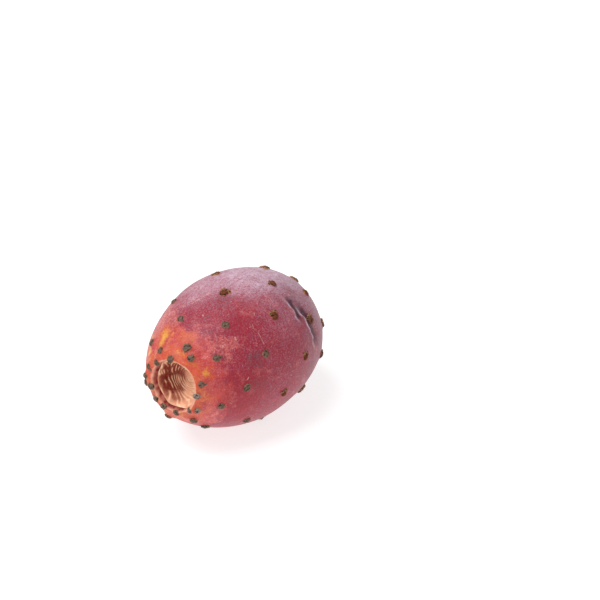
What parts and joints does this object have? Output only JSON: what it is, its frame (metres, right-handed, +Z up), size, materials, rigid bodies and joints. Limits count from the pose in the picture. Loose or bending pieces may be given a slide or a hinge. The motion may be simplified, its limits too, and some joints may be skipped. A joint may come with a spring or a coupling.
{
  "type": "prickly pear fruit",
  "caption": "Ripe red prickly pear fruit, whole, lying on its side, with a hollow crater at one end and small tufts of bristles in spirals over its skin.",
  "frame": {"origin": "on the surface that the fruit lies on, under the middle of its box", "axes": "+Z up; the long axis lies along Y, with the crater where the flower sat at the -Y end, raised 4.8 degrees, and the scar of the cut at the +Y end"},
  "size_m": [0.059, 0.0802, 0.0571],
  "materials": {
    "skin": "satin",
    "areole": "matte",
    "dry_tissue": "matte"
  },
  "bodies": {
    "root": {"fruit": "skin"}
  },
  "joints": []
}
